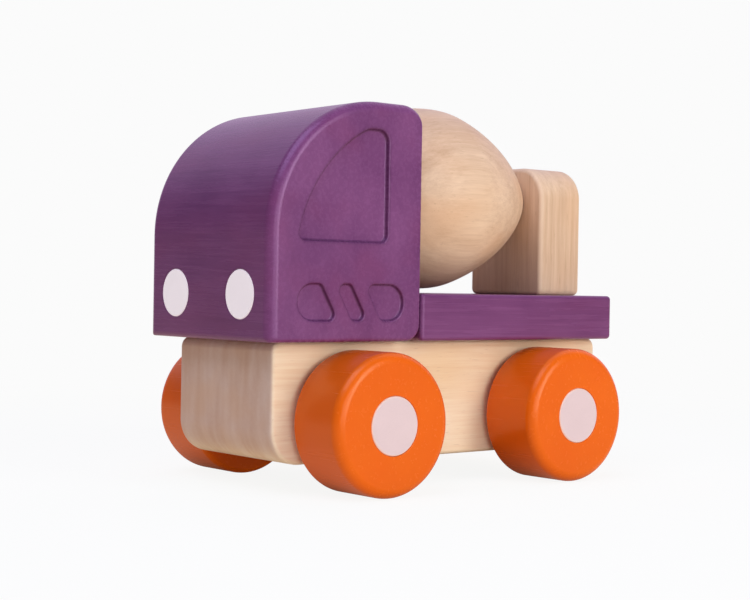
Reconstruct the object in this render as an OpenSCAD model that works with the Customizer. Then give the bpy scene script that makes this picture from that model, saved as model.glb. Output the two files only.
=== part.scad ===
// A toddler's wooden cement-mixer truck, pushed along the floor by hand.
// Millimetres. +X points forward, +Y to the truck's left and +Z up. The origin is on the floor,
// midway along the truck. All the blocks are solid wood, glued and dowelled together. Each pair of
// wheels turns with its axle, and the drum turns on a spindle between the cab and the post.

/* [Body] */
// Length of the truck, from the front of the cab to the back of the deck
truck_l = 134.4; // [132:0.2:135.4]
// Width of the cab and the deck
body_w = 60.8; // [56:0.2:64]
// Height of the cab's and the deck's underside above the floor
body_z = 42.3; // [42:0.1:46]

/* [Cab] */
// Length of the cab
cab_l = 53.4; // [52:0.2:56]
// Height of the cab
cab_h = 67.5; // [66:0.5:72]
// Radius of the curve that joins the front to the roof
nose_r = 38; // [34:0.5:40]
// Radius of the roof's rear corner, seen from the side
roof_rear_r = 6; // [3:0.5:8]
// Radius of the cab's lower rear corner, seen from the side
cab_heel_r = 5; // [2:0.5:6]
// Rounding along both sides of the front and the roof
cab_edge_r = 3; // [1.5:0.5:4]
// Diameter of the headlight discs
light_d = 13.7; // [10:0.1:16]
// Distance between the centres of the headlights
light_pitch = 32.6; // [28:0.2:36]
// Height of the headlights above the cab's underside
light_h = 12.8; // [10:0.2:20]
// Thickness of the headlight discs
light_t = 1.5; // [1:0.1:3]

/* [Window and vents] */
// Depth of the window pockets
window_depth = 1.2; // [0.6:0.1:2]
// Height of the windowsill above the cab's underside
sill_h = 27.7; // [24:0.2:29]
// Height of the window
window_h = 31.8; // [28:0.2:32.6]
// Distance of the window's rear edge behind the front of the cab
window_back = 40.6; // [38:0.2:44]
// Radius of the window's front edge
window_curve_r = 43.4; // [43:0.2:45]
// Depth of the vent pockets
vent_depth = 1; // [0.5:0.1:2]
// Height of the vents' lower edge above the cab's underside
vent_low = 5.8; // [4:0.2:8]
// Height of the vents
vent_h = 10.3; // [8:0.1:12]
// Length of the row of three vents
vent_row_l = 37.3; // [34:0.2:40]
// Slant of the ribs between the vents, in degrees
rib_slant = 30; // [20:1:35]
// Width of the ribs between the vents, measured level
rib_w = 4.8; // [3:0.1:5.5]

/* [Deck and chassis] */
// Thickness of the deck
deck_t = 13.7; // [12:0.1:16]
// Gap between the cab and the deck
deck_gap = 0.3; // [0.1:0.1:1]
// Width of the chassis
chassis_w = 46.6; // [42:0.2:46.6]
// Ground clearance under the chassis
chassis_z = 8.2; // [6:0.1:12]
// Distance of the chassis behind the front of the cab
chassis_setback = 6.4; // [4:0.2:10]
// Radius of the chassis's lower corners, seen from the side
chassis_corner_r = 10; // [6:0.5:12]
// Rounding of the other edges of the deck, the chassis and the post
edge_r = 1.2; // [0.6:0.1:1.6]

/* [Post and drum] */
// Thickness of the post along the truck
post_t = 18.4; // [17:0.2:22]
// Width of the post
post_w = 32.6; // [28:0.2:38]
// Height of the post above the deck
post_h = 41.0; // [38:0.5:46]
// Radius of the post's upper corners
post_corner_r = 10; // [6:0.5:14]
// Radius of the post's lower corners
post_foot_r = 2; // [1.2:0.2:4]
// Largest radius of the drum
drum_r = 28; // [26:0.25:28.5]
// Distance of the drum's widest place behind the cab
belly_s = 24; // [22:0.5:28]
// Height of the drum's axis above the deck
drum_h = 29.4; // [29.3:0.1:31]
// Radius of the drum's spindle
spindle_r = 5; // [3:0.25:6]

/* [Wheels] */
// Diameter of the wheels
wheel_d = 40; // [36:0.5:41]
// Width of the wheels
wheel_w = 20; // [16:0.5:20]
// Distance between the outer faces of the left and right wheels
wheel_span = 90; // [90:0.5:100]
// Distance between the front and rear axles
wheelbase = 72.2; // [66:0.2:76]
// Distance of the front axle behind the front of the cab
front_overhang = 32.15; // [31:0.05:36]
// Rounding of the wheels' outer edge
wheel_edge_r = 3; // [1:0.5:5]
// Radius of the axles
axle_r = 4; // [3:0.25:5]
// Diameter of the hub caps
cap_d = 16.4; // [13:0.2:20]
// Thickness of the hub caps
cap_t = 3; // [1.5:0.5:5]

/* [Dowels and fits] */
// Radius of the dowels that hold the cab and the deck on the chassis
dowel_r = 4; // [3:0.25:5]
// Radius of the dowels that hold the post on the deck
post_dowel_r = 3; // [2:0.25:4]
// Radial gap round the axles and the spindle, where they turn
running_gap = 0.09; // [0.05:0.01:0.1]
// Gap round glued pieces
glue_gap = 0.05; // [0.02:0.01:0.08]
// Gap between the drum's ends and what they face
drum_end_gap = 0.5; // [0.3:0.1:1]

/* [Hidden] */
$fn = 96;
past = 1; // how far a cutting shape runs past the face that it cuts

front_x = truck_l / 2;
rear_x = -truck_l / 2;
cab_rear_x = front_x - cab_l;
deck_z = body_z + deck_t;
front_axle_x = front_x - front_overhang;
rear_axle_x = front_axle_x - wheelbase;
wheel_r = wheel_d / 2;
chassis_front_x = front_x - chassis_setback;
chassis_top_r = 3;
post_front_x = rear_x + post_t;
drum_z = deck_z + drum_h;
drum_room = cab_rear_x - post_front_x;

cab_toe_r = 1.5; // lower front corner of the cab, seen from the side

// the window's front edge is part of a circle, this far back from the front and up from the underside
window_curve_back = 52.1;
window_curve_up = 20.3;
sill_front_r = 2;
sill_rear_r = 2.5;
window_top_r = 3.5;
curve_steps = 16;
corner_steps = 8;

vent_front = 9.5; // from the front of the cab to the front end of the vents
vent_mid = vent_front + vent_row_l / 2;
rib_pitch = 10.4;
rib_end_r = 2; // rounding where a rib meets the vents' upper and lower edges
vent_end_r = vent_h / 2 - 0.05;

// seen from the side, the drum is three arcs that run into each other: belly, shoulder and nose
belly_arc_r = 40;
shoulder_arc_r = 20;
nose_arc_r = 71;
shoulder_from = 5.3; // slope where the belly becomes the shoulder, in degrees
shoulder_to = 16.7; // slope where the shoulder becomes the nose, in degrees
drum_steps = 16; // points on each arc
spindle_in_cab = 14;
spindle_in_post = 12;

wheel_in = wheel_span / 2 - wheel_w; // from the middle of the truck to the wheel's inner face
wheel_inner_edge_r = 1.5;
boss_l = 1.2; // a low boss keeps the wheel's inner face off the chassis
boss_r = 8;
axle_end_gap = 0.2; // between the axle's end and the hub cap
axle_half_l = wheel_span / 2 - cap_t - axle_end_gap;

dowel_in_chassis = 12;
dowel_in_cab = 13.7;
dowel_in_deck = 8.7;
dowel_end_gap = 0.4;
cab_dowel_xs = [front_x - 42, front_x - 17];
deck_dowel_xs = [-50, -10];
post_dowel_x = rear_x + post_t / 2;
post_dowel_y = 9;
post_dowel_in_deck = 9;
post_dowel_in_post = 12;

purple = [0.49, 0.30, 0.45];
orange = [0.94, 0.42, 0.13];
bare_wood = [0.92, 0.78, 0.65];
disc_grey = [0.90, 0.83, 0.83];

// ---- outlines ----

// What is cut away to round a square corner that sits at the origin and fills +X +Y
module corner_waste(r) {
    if (r > 0) difference() {
        translate([-past, -past]) square(r + past);
        translate([r, r]) circle(r);
    }
}

// A rectangle with rounded corners. The radii run anticlockwise from the lower left.
module rounded_rect(size, radii) {
    difference() {
        square(size);
        corner_waste(radii[0]);
        translate([size[0], 0]) mirror([1, 0]) corner_waste(radii[1]);
        translate(size) mirror([1, 0]) mirror([0, 1]) corner_waste(radii[2]);
        translate([0, size[1]]) mirror([0, 1]) corner_waste(radii[3]);
    }
}

function turned(p, angle) =
    [p[0] * cos(angle) - p[1] * sin(angle), p[0] * sin(angle) + p[1] * cos(angle)];

// The points of the corner at b, on the way from a to c, rounded to radius r
function rounded_corner(a, b, c, r) =
    r == 0 ? [b] :
    let (
        to_a = (a - b) / norm(a - b),
        to_c = (c - b) / norm(c - b),
        half = acos(to_a * to_c) / 2,
        middle = b + (to_a + to_c) / norm(to_a + to_c) * r / sin(half),
        start = b + to_a * r / tan(half) - middle,
        turn = (180 - 2 * half) * sign(cross(-to_a, to_c))
    )
    [for (i = [0:corner_steps]) middle + turned(start, turn * i / corner_steps)];

// The points of a closed outline whose corners are given as [x, y, radius]
function rounded_outline(corners) =
    let (n = len(corners), xy = [for (c = corners) [c[0], c[1]]])
    [for (i = [0:n - 1])
        each rounded_corner(xy[(i + n - 1) % n], xy[i], xy[(i + 1) % n], corners[i][2])];

// ---- solids from outlines ----

// An outline drawn in Y and Z, extruded towards +X
module along_x(l) { rotate([90, 0, 90]) linear_extrude(l) children(); }

// An outline drawn in X and Z, extruded towards +Y
module along_y(l) { translate([0, l, 0]) rotate([90, 0, 0]) linear_extrude(l) children(); }

// A block with its lowest corner at the origin. Each list holds the radii of the four edges that
// run along that axis.
module rounded_block(size, radii_x, radii_y, radii_z) {
    intersection() {
        along_x(size[0]) rounded_rect([size[1], size[2]], radii_x);
        along_y(size[1]) rounded_rect([size[0], size[2]], radii_y);
        linear_extrude(size[2]) rounded_rect([size[0], size[1]], radii_z);
    }
}

module both_sides() {
    children();
    mirror([0, 1, 0]) children();
}

// A round peg that stands on z = 0, with a small chamfer at each end
module peg(r, l) {
    chamfer = 0.6;
    rotate_extrude() polygon([
        [0, 0], [r - chamfer, 0], [r, chamfer], [r, l - chamfer], [r - chamfer, l], [0, l]
    ]);
}

// ---- cab ----

// The cab seen from the truck's right, with its lower rear corner at the origin
module cab_outline() {
    rounded_rect([cab_l, cab_h], [cab_heel_r, cab_toe_r, nose_r, roof_rear_r]);
}

// What is cut away along the left side of the front, the nose and the roof
module cab_edge_waste() {
    side = body_w / 2;
    translate([front_x, side, body_z - past]) mirror([1, 0, 0]) mirror([0, 1, 0])
        linear_extrude(cab_h - nose_r + past) corner_waste(cab_edge_r);
    translate([front_x - nose_r, side, body_z + cab_h - nose_r]) rotate([90, 0, 0])
        rotate_extrude(angle = 90) translate([nose_r, 0]) mirror([1, 0]) corner_waste(cab_edge_r);
    translate([cab_rear_x - past, side, body_z + cab_h]) mirror([0, 0, 1])
        along_x(cab_l - nose_r + past) mirror([1, 0]) corner_waste(cab_edge_r);
}

// What is cut away along the left side's lower and rear edges
module cab_back_waste() {
    side = body_w / 2;
    translate([cab_rear_x - past, side, body_z])
        along_x(cab_l + 2 * past) mirror([1, 0]) corner_waste(edge_r);
    translate([cab_rear_x, side, body_z - past]) mirror([0, 1, 0])
        linear_extrude(cab_h + 2 * past) corner_waste(edge_r);
}

// The window, with X measured forward from the front of the cab and Y up from its underside
module window_outline() {
    low = asin((sill_h - window_curve_up) / window_curve_r);
    high = asin((sill_h + window_h - window_curve_up) / window_curve_r);
    front_edge = [for (i = [0:curve_steps])
        let (a = low + (high - low) * i / curve_steps)
        [window_curve_r * cos(a) - window_curve_back, window_curve_r * sin(a) + window_curve_up,
            i == 0 ? sill_front_r : 0]];
    polygon(rounded_outline(concat(front_edge, [
        [-window_back, sill_h + window_h, window_top_r],
        [-window_back, sill_h, sill_rear_r]
    ])));
}

// The upper and lower end of a vent's edge that crosses mid-height at x and slants by the angle
function vent_top(x, slant) = [x + vent_h / 2 * tan(slant), vent_low + vent_h];
function vent_foot(x, slant) = [x - vent_h / 2 * tan(slant), vent_low];

// One vent. Each end is [distance behind the front, slant, corner radius].
module vent_outline(back_end, front_end) {
    polygon(rounded_outline([
        for (e = [back_end, front_end]) [each vent_foot(-e[0], e[1]), e[2]],
        for (e = [front_end, back_end]) [each vent_top(-e[0], e[1]), e[2]]
    ]));
}

module vent_row_outline() {
    front_rib = vent_mid - rib_pitch / 2;
    rear_rib = vent_mid + rib_pitch / 2;
    vent_outline([front_rib - rib_w / 2, rib_slant, rib_end_r], [vent_front, 0, vent_end_r]);
    vent_outline([rear_rib - rib_w / 2, rib_slant, rib_end_r],
        [front_rib + rib_w / 2, rib_slant, rib_end_r]);
    vent_outline([vent_front + vent_row_l, 0, vent_end_r],
        [rear_rib + rib_w / 2, rib_slant, rib_end_r]);
}

// Pockets in the left side
module cab_pockets() {
    side = body_w / 2;
    translate([front_x, side - window_depth, body_z]) along_y(window_depth + past) window_outline();
    translate([front_x, side - vent_depth, body_z]) along_y(vent_depth + past) vent_row_outline();
}

module cab_block() {
    color(purple) difference() {
        translate([cab_rear_x, -body_w / 2, body_z]) along_y(body_w) cab_outline();
        both_sides() {
            cab_edge_waste();
            cab_back_waste();
            cab_pockets();
            translate([front_x - light_t, light_pitch / 2, body_z + light_h])
                rotate([0, 90, 0]) cylinder(r = light_d / 2 + glue_gap, h = light_t + past);
        }
        for (x = cab_dowel_xs) translate([x, 0, body_z - past])
            cylinder(r = dowel_r + glue_gap, h = dowel_in_cab + past);
        translate([cab_rear_x - past, 0, drum_z])
            rotate([0, 90, 0]) cylinder(r = spindle_r + glue_gap, h = spindle_in_cab + past);
    }
}

module headlight(side) {
    rim = 0.3;
    color(disc_grey) translate([front_x - light_t, side * light_pitch / 2, body_z + light_h])
        rotate([0, 90, 0]) rotate_extrude() polygon([
            [0, 0], [light_d / 2, 0], [light_d / 2, light_t - rim],
            [light_d / 2 - rim, light_t], [0, light_t]
        ]);
}

// ---- deck, chassis and post ----

module deck_board() {
    l = cab_rear_x - deck_gap - rear_x;
    edges = [edge_r, edge_r, edge_r, edge_r];
    color(purple) difference() {
        translate([rear_x, -body_w / 2, body_z]) rounded_block([l, body_w, deck_t], edges, edges, edges);
        for (x = deck_dowel_xs) translate([x, 0, body_z - past])
            cylinder(r = dowel_r + glue_gap, h = dowel_in_deck + past);
        both_sides() translate([post_dowel_x, post_dowel_y, deck_z - post_dowel_in_deck])
            cylinder(r = post_dowel_r + glue_gap, h = post_dowel_in_deck + past);
    }
}

module chassis_block() {
    l = chassis_front_x - rear_x;
    h = body_z - chassis_z;
    edges = [edge_r, edge_r, edge_r, edge_r];
    corners = [chassis_corner_r, chassis_corner_r, chassis_top_r, chassis_top_r];
    color(bare_wood) difference() {
        translate([rear_x, -chassis_w / 2, chassis_z])
            rounded_block([l, chassis_w, h], edges, corners, edges);
        for (x = [front_axle_x, rear_axle_x]) translate([x, chassis_w / 2 + past, wheel_r])
            rotate([90, 0, 0]) cylinder(r = axle_r + running_gap, h = chassis_w + 2 * past);
        for (x = concat(cab_dowel_xs, deck_dowel_xs)) translate([x, 0, body_z - dowel_in_chassis])
            cylinder(r = dowel_r + glue_gap, h = dowel_in_chassis + past);
    }
}

module drum_post() {
    edges = [edge_r, edge_r, edge_r, edge_r];
    corners = [post_foot_r, post_foot_r, post_corner_r, post_corner_r];
    color(bare_wood) difference() {
        translate([rear_x, -post_w / 2, deck_z])
            rounded_block([post_t, post_w, post_h], corners, edges, edges);
        translate([post_front_x - spindle_in_post, 0, drum_z]) rotate([0, 90, 0])
            cylinder(r = spindle_r + glue_gap, h = spindle_in_post + past);
        both_sides() translate([post_dowel_x, post_dowel_y, deck_z - past])
            cylinder(r = post_dowel_r + glue_gap, h = post_dowel_in_post + past);
    }
}

// ---- drum ----

function arc(centre, r, from, to) =
    [for (i = [0:drum_steps]) centre + r * turned([1, 0], from + (to - from) * i / drum_steps)];

// The drum, with X as its radius and Y as the distance behind the cab
module drum_outline() {
    first = drum_end_gap;
    last = drum_room - drum_end_gap;
    bore = spindle_r + running_gap;
    belly = [drum_r - belly_arc_r, belly_s];
    shoulder = belly + turned([belly_arc_r - shoulder_arc_r, 0], shoulder_from);
    nose = shoulder - turned([nose_arc_r - shoulder_arc_r, 0], shoulder_to);
    polygon([
        [bore, first],
        each arc(belly, belly_arc_r, asin((first - belly[1]) / belly_arc_r), shoulder_from),
        each arc(shoulder, shoulder_arc_r, shoulder_from, shoulder_to),
        each arc(nose, nose_arc_r, shoulder_to, asin((last - nose[1]) / nose_arc_r)),
        [bore, last]
    ]);
}

module mixer_drum() {
    color(bare_wood) translate([cab_rear_x, 0, drum_z]) rotate([0, -90, 0])
        rotate_extrude() drum_outline();
}

module drum_spindle() {
    l = spindle_in_cab + drum_room + spindle_in_post - 2 * dowel_end_gap;
    color(bare_wood) translate([post_front_x - spindle_in_post + dowel_end_gap, 0, drum_z])
        rotate([0, 90, 0]) peg(spindle_r, l);
}

// ---- dowels ----

module cab_dowels() {
    color(bare_wood) for (x = cab_dowel_xs) translate([x, 0, body_z - dowel_in_chassis + dowel_end_gap])
        peg(dowel_r, dowel_in_chassis + dowel_in_cab - 2 * dowel_end_gap);
}

module deck_dowels() {
    color(bare_wood) for (x = deck_dowel_xs) translate([x, 0, body_z - dowel_in_chassis + dowel_end_gap])
        peg(dowel_r, dowel_in_chassis + dowel_in_deck - 2 * dowel_end_gap);
}

module post_dowels() {
    color(bare_wood) both_sides()
        translate([post_dowel_x, post_dowel_y, deck_z - post_dowel_in_deck + dowel_end_gap])
            peg(post_dowel_r, post_dowel_in_deck + post_dowel_in_post - 2 * dowel_end_gap);
}

// ---- wheels ----

// Stands what is drawn along +Z on an axle, pointing out to the left (1) or the right (-1)
module on_axle(x, side) { translate([x, 0, wheel_r]) rotate([-90 * side, 0, 0]) children(); }

module axle(x) {
    color(bare_wood) on_axle(x, 1) translate([0, 0, -axle_half_l]) peg(axle_r, 2 * axle_half_l);
}

module wheel(x, side) {
    bore = axle_r + glue_gap;
    out = wheel_span / 2;
    color(orange) on_axle(x, side) rotate_extrude() difference() {
        union() {
            translate([bore, wheel_in]) square([wheel_r - bore, wheel_w]);
            translate([bore, wheel_in - boss_l]) square([boss_r - bore, boss_l + past]);
        }
        translate([0, out - cap_t]) square([cap_d / 2 + glue_gap, cap_t + past]);
        translate([wheel_r, out]) mirror([1, 0]) mirror([0, 1]) corner_waste(wheel_edge_r);
        translate([wheel_r, wheel_in]) mirror([1, 0]) corner_waste(wheel_inner_edge_r);
    }
}

module hub_cap(x, side) {
    rim = 0.4;
    r = cap_d / 2;
    color(disc_grey) on_axle(x, side) translate([0, 0, wheel_span / 2 - cap_t]) rotate_extrude()
        polygon([[0, 0], [r, 0], [r, cap_t - rim], [r - rim, cap_t], [0, cap_t]]);
}

chassis_block();
cab_block();
deck_board();
drum_post();
mixer_drum();
drum_spindle();
headlight(1);  // headlight_left
headlight(-1);  // headlight_right
cab_dowels();
deck_dowels();
post_dowels();
axle(front_axle_x);  // front_axle
axle(rear_axle_x);  // rear_axle
wheel(front_axle_x, 1);  // wheel_front_left
wheel(front_axle_x, -1);  // wheel_front_right
wheel(rear_axle_x, 1);  // wheel_rear_left
wheel(rear_axle_x, -1);  // wheel_rear_right
hub_cap(front_axle_x, 1);  // hub_cap_front_left
hub_cap(front_axle_x, -1);  // hub_cap_front_right
hub_cap(rear_axle_x, 1);  // hub_cap_rear_left
hub_cap(rear_axle_x, -1);  // hub_cap_rear_right
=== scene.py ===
"""Looks of the wooden cement-mixer truck. Every piece is built here in millimetres, round the boxes
of the CAD nodes that it stands for, and rides on the same body."""

import math

import bpy
import numpy as np
from mathutils import Matrix, Vector
from mathutils.geometry import delaunay_2d_cdt


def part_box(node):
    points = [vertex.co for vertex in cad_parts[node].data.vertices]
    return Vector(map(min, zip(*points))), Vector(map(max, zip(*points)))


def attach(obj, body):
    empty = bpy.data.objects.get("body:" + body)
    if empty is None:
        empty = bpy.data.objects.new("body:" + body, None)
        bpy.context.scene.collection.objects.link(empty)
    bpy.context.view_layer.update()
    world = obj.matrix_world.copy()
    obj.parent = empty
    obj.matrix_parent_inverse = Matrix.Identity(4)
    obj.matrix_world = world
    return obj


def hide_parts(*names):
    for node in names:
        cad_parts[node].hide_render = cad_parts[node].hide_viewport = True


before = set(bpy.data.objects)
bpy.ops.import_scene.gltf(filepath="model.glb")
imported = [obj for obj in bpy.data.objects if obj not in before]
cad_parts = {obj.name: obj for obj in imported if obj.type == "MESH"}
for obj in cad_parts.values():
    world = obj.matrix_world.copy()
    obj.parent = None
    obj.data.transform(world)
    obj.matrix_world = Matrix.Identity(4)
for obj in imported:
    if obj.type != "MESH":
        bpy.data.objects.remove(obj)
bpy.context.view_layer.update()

MM = 0.001
X, Y, Z = 0, 1, 2

# fits, as in the CAD model
GLUE_GAP = 0.05
RUNNING_GAP = 0.09
DOWEL_END_GAP = 0.4

CHORD_ERROR = 0.006  # how far a straight stretch may cut inside the arc that it stands for
WELD_DIGITS = 3  # corners that agree to this many decimals of a millimetre are one vertex
WHEEL_STEPS = 128  # flats round a turned piece, for each kind of it
DRUM_STEPS = 192
DISC_STEPS = 96
PEG_STEPS = 64
BORE_STEPS = 64  # flats round a drilled hole
PEG_EASE = 0.6


# ---- outlines ----
# An outline is a list of samples (point, way), anticlockwise. Way is the unit direction out of it.

def rotated(way, angle):
    c, s = math.cos(angle), math.sin(angle)
    return np.array([way[0] * c - way[1] * s, way[0] * s + way[1] * c])


def arc_count(radius, turn):
    """How many straight stretches an arc takes. Turn is in radians."""
    if radius <= 0:
        return 1
    step = 2 * math.acos(max(1 - CHORD_ERROR / radius, 0.5))
    return max(3, math.ceil(abs(turn) / step))


def arc(centre, radius, start, end):
    """Samples along an arc, with its angles in degrees and its ways pointing away from its centre."""
    count = arc_count(radius, math.radians(end - start))
    angles = np.radians(np.linspace(start, end, count + 1))
    ways = [np.array([math.cos(a), math.sin(a)]) for a in angles]
    return [(np.array(centre) + radius * way, way) for way in ways]


def circle(centre, radius, steps=BORE_STEPS):
    ways = [np.array([math.cos(a), math.sin(a)]) for a in around(steps)]
    return [(np.array(centre, float) + radius * way, way) for way in ways]


def around(steps):
    return np.linspace(0, 2 * math.pi, steps, endpoint=False)


def rounded_path(corners, closed=True):
    """Samples of a path whose corners are (x, y, radius), with the solid on its left."""
    points = [np.array(corner[:2], float) for corner in corners]
    count = len(points)
    legs = [points[(i + 1) % count] - points[i] for i in range(count)]
    legs = [leg / np.linalg.norm(leg) for leg in legs]
    ways = [np.array([leg[1], -leg[0]]) for leg in legs]
    samples = [] if closed else [(points[0], ways[0])]
    for i in range(0 if closed else 1, count if closed else count - 1):
        behind, ahead, radius = legs[i - 1], legs[i], corners[i][2]
        turn = math.atan2(behind[0] * ahead[1] - behind[1] * ahead[0], behind @ ahead)
        bend = math.copysign(1, turn)
        centre = points[i] - behind * radius * math.tan(abs(turn) / 2) - bend * radius * ways[i - 1]
        steps = arc_count(radius, turn)
        for k in range(steps + 1):
            way = rotated(ways[i - 1], turn * k / steps)
            samples.append((centre + bend * radius * way, way))
    return samples if closed else [*samples, (points[-1], ways[-2])]


# ---- skins ----

class Row:
    """A row of vertices of a skin, with the surface's normal at each."""

    def __init__(self, skin, points, normals, wear=0.0, pool_and_shade=0.0):
        self.points, self.normals = np.array(points), np.array(normals)
        wear = np.broadcast_to(wear, len(self.points))
        self.vertices = [skin.vertex(point, w, pool_and_shade) for point, w in zip(self.points.tolist(), wear)]


class Skin:
    """The faces of one piece, in millimetres. Vertices at the same point are one vertex. Wear and
    highlight says how exposed an edge is, which the colour lightens as wear and as a painted highlight,
    and pool and shade how deep in an inner corner a vertex lies, which the colour darkens as pooled
    stain and as painted shade."""

    def __init__(self):
        self.index = {}
        self.points, self.wear, self.pool_and_shade = [], [], []
        self.faces, self.normals = [], []

    def vertex(self, point, wear, pool_and_shade):
        key = tuple(round(c, WELD_DIGITS) + 0.0 for c in point)
        if key not in self.index:
            self.index[key] = len(self.points)
            self.points.append(point)
            self.wear.append(float(wear))
            self.pool_and_shade.append(float(pool_and_shade))
        return self.index[key]

    def strip(self, low, high, closed=False):
        """Joins two rows of the same length with a strip of faces."""
        ahead = [np.roll(values, -1, axis=0) for values in (low.points, high.points)]
        facing = np.cross(ahead[1] - low.points, high.points - ahead[0])
        is_flipped = np.sum((facing * (low.normals + high.normals))[:None if closed else -1]) < 0
        count = len(low.vertices)
        for i in range(count if closed else count - 1):
            j = (i + 1) % count
            corners = [(low, i), (low, j), (high, j), (high, i)]
            if is_flipped:
                corners.reverse()
            face = [row.vertices[k] for row, k in corners]
            kept = [k for k in range(4) if face[k] != face[k - 1]]
            if len(kept) >= 3:
                self.faces.append([face[k] for k in kept])
                self.normals.extend(tuple(corners[k][0].normals[corners[k][1]]) for k in kept)

    def fill(self, face, outline, holes=(), depth=0.0):
        """Fills a flat face inside its outline, apart from the holes, with triangles."""
        loops = [[tuple(spot) for spot in loop] for loop in (outline, *holes)]
        spots, edges = [], []
        for loop in loops:
            kept = [p for p, q in zip(loop, loop[1:] + loop[:1]) if math.dist(p, q) > 10 ** -WELD_DIGITS]
            first = len(spots)
            spots += kept
            edges += [(first + i, first + (i + 1) % len(kept)) for i in range(len(kept))]
        made = delaunay_2d_cdt([Vector(spot) for spot in spots], edges, [], 0, 1e-6, True)
        triangles, sources = made[2], made[3]
        corners = np.array([spots[source[0]] for source in sources])
        row = Row(self, [face.point(spot, depth) for spot in corners], [face.normal] * len(corners))
        centres = corners[np.array(triangles)].mean(axis=1)
        shown = inside(centres, loops[0])
        for hole in loops[1:]:
            shown &= ~inside(centres, hole)
        a, b, c = row.points[list(triangles[0])]
        is_flipped = np.cross(b - a, c - a) @ face.normal < 0
        for triangle, is_shown in zip(triangles, shown):
            if is_shown:
                order = reversed(triangle) if is_flipped else triangle
                self.faces.append([row.vertices[i] for i in order])
                self.normals.extend([tuple(face.normal)] * 3)

    def piece(self, name, body, slot, nodes, material):
        """Makes the object, puts it on its body, and hides the CAD nodes that it stands for."""
        mesh = bpy.data.meshes.new(name)
        mesh.from_pydata(np.array(self.points) * MM, [], self.faces)
        mesh.shade_smooth()
        for attribute, values in (("wear", self.wear), ("pool_and_shade", self.pool_and_shade)):
            mesh.attributes.new(attribute, "FLOAT", "POINT").data.foreach_set("value", values)
        mesh.normals_split_custom_set(self.normals)
        mesh.materials.append(material)
        piece = bpy.data.objects.new(name, mesh)
        bpy.context.scene.collection.objects.link(piece)
        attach(piece, body)
        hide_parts(*nodes)


class Face:
    """A flat face square to an axis. Its own coordinates are the other two axes, in order."""

    def __init__(self, axis, side, level):
        self.axis, self.side, self.level = axis, side, level
        self.across = [i for i in (X, Y, Z) if i != axis]
        self.normal = side * np.eye(3)[axis]

    def point(self, spot, depth=0.0):
        point = np.zeros(3)
        point[self.across] = spot
        point[self.axis] = self.level - self.side * depth
        return point

    def way(self, way):
        direction = np.zeros(3)
        direction[self.across] = way
        return direction


def inside(spots, loop):
    """For each spot, whether it is inside the closed loop."""
    loop = np.array(loop)
    found = np.zeros(len(spots), bool)
    for a, b in zip(loop, np.roll(loop, -1, axis=0)):
        if a[1] == b[1]:
            continue
        crosses = (a[1] > spots[:, 1]) != (b[1] > spots[:, 1])
        reach = a[0] + (spots[:, 1] - a[1]) / (b[1] - a[1]) * (b[0] - a[0])
        found ^= crosses & (spots[:, 0] < reach)
    return found


# ---- recesses ----

EDGE_POOL_AND_SHADE_FADE = 0.7  # how far outside a recess the darker rim fades out: pooled stain and painted shade

# How a recess goes in from its face is a list of (inset, depth, lean, wear and highlight, pool and
# shade). Lean is the angle in degrees from the face's normal to the surface's, towards the middle of
# the recess. Pool and shade darkens the colour, as pooled stain and as painted shade.

def pocket_profile(depth, rim, corner, draft, edge_pool_and_shade=0.0):
    """A pocket with a rounded rim, a drafted wall and a rounded inner corner. Edge pool and shade says
    how dark the rim is painted, as pooled stain and as painted shade, fading out a little way outside it."""
    lean, tilt = 90 - draft, math.radians(draft)
    wall = (depth - (rim + corner) * (1 - math.sin(tilt))) / math.cos(tilt)
    rim_start = -rim * math.cos(tilt)
    floor_start = wall * math.sin(tilt) + corner * math.cos(tilt)
    # a ring just outside the rim, where the painted shade along the rim fades out
    profile = [(rim_start - EDGE_POOL_AND_SHADE_FADE, 0.0, 0.0, 0.0, 0.0)] if edge_pool_and_shade else []
    for angle in np.linspace(0, lean, arc_count(rim, math.radians(lean)) + 1):
        a = math.radians(angle)
        # the rim is lightened, as wear and as a painted highlight, unless its edge is darkened instead
        wear = 0.0 if edge_pool_and_shade else math.sin(2 * a)
        profile.append((rim_start + rim * math.sin(a), rim - rim * math.cos(a), angle, wear, edge_pool_and_shade))
    # the inner corner is darkened, as pooled stain and as painted shade
    for angle in np.linspace(lean, 0, arc_count(corner, math.radians(lean)) + 1):
        a = math.radians(angle)
        profile.append((floor_start - corner * math.sin(a), depth - corner + corner * math.cos(a), angle,
                        0.0, min(1.0, 2 * math.sin(a))))
    return profile


def tunnel_profile(length, rim):
    """A straight hole from one face to the opposite one, with both rims rounded."""
    profile = []
    for shift, angles in ((0, (0, 90)), (length - 2 * rim, (90, 180))):
        for angle in np.linspace(*angles, arc_count(rim, math.pi / 2) + 1):
            a = math.radians(angle)
            profile.append((-rim + rim * math.sin(a), shift + rim - rim * math.cos(a), angle, 0.0, 0.0))
    return profile


class Recess:
    """A hole or pocket in one face of a block: (axis, side) says which face."""

    def __init__(self, axis, side, outline, profile, through=False):
        self.axis, self.side = axis, side
        self.outline, self.profile, self.through = outline, profile, through

    def loop(self, inset):
        return [point - inset * way for point, way in self.outline]

    def cut_in(self, skin, face):
        """Adds the wall and the floor, and returns the hole that they leave in the face."""
        rows = []
        for inset, depth, lean, wear, pool_and_shade in self.profile:
            a = math.radians(lean)
            points = [face.point(spot, depth) for spot in self.loop(inset)]
            normals = [face.normal * math.cos(a) - face.way(way) * math.sin(a) for _, way in self.outline]
            rows.append(Row(skin, points, normals, max(0.0, wear), pool_and_shade))
        for outer, inner in zip(rows, rows[1:]):
            skin.strip(outer, inner, closed=True)
        if not self.through:
            inset, depth = self.profile[-1][:2]
            skin.fill(face, self.loop(inset), depth=depth)
        return self.loop(self.profile[0][0])


def drilled(axis, side, centre, radius, depth, rim=0.25, corner=0.4, edge_pool_and_shade=0.0):
    return Recess(axis, side, circle(centre, radius), pocket_profile(depth, rim, corner, 0, edge_pool_and_shade))


# ---- blocks ----

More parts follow.
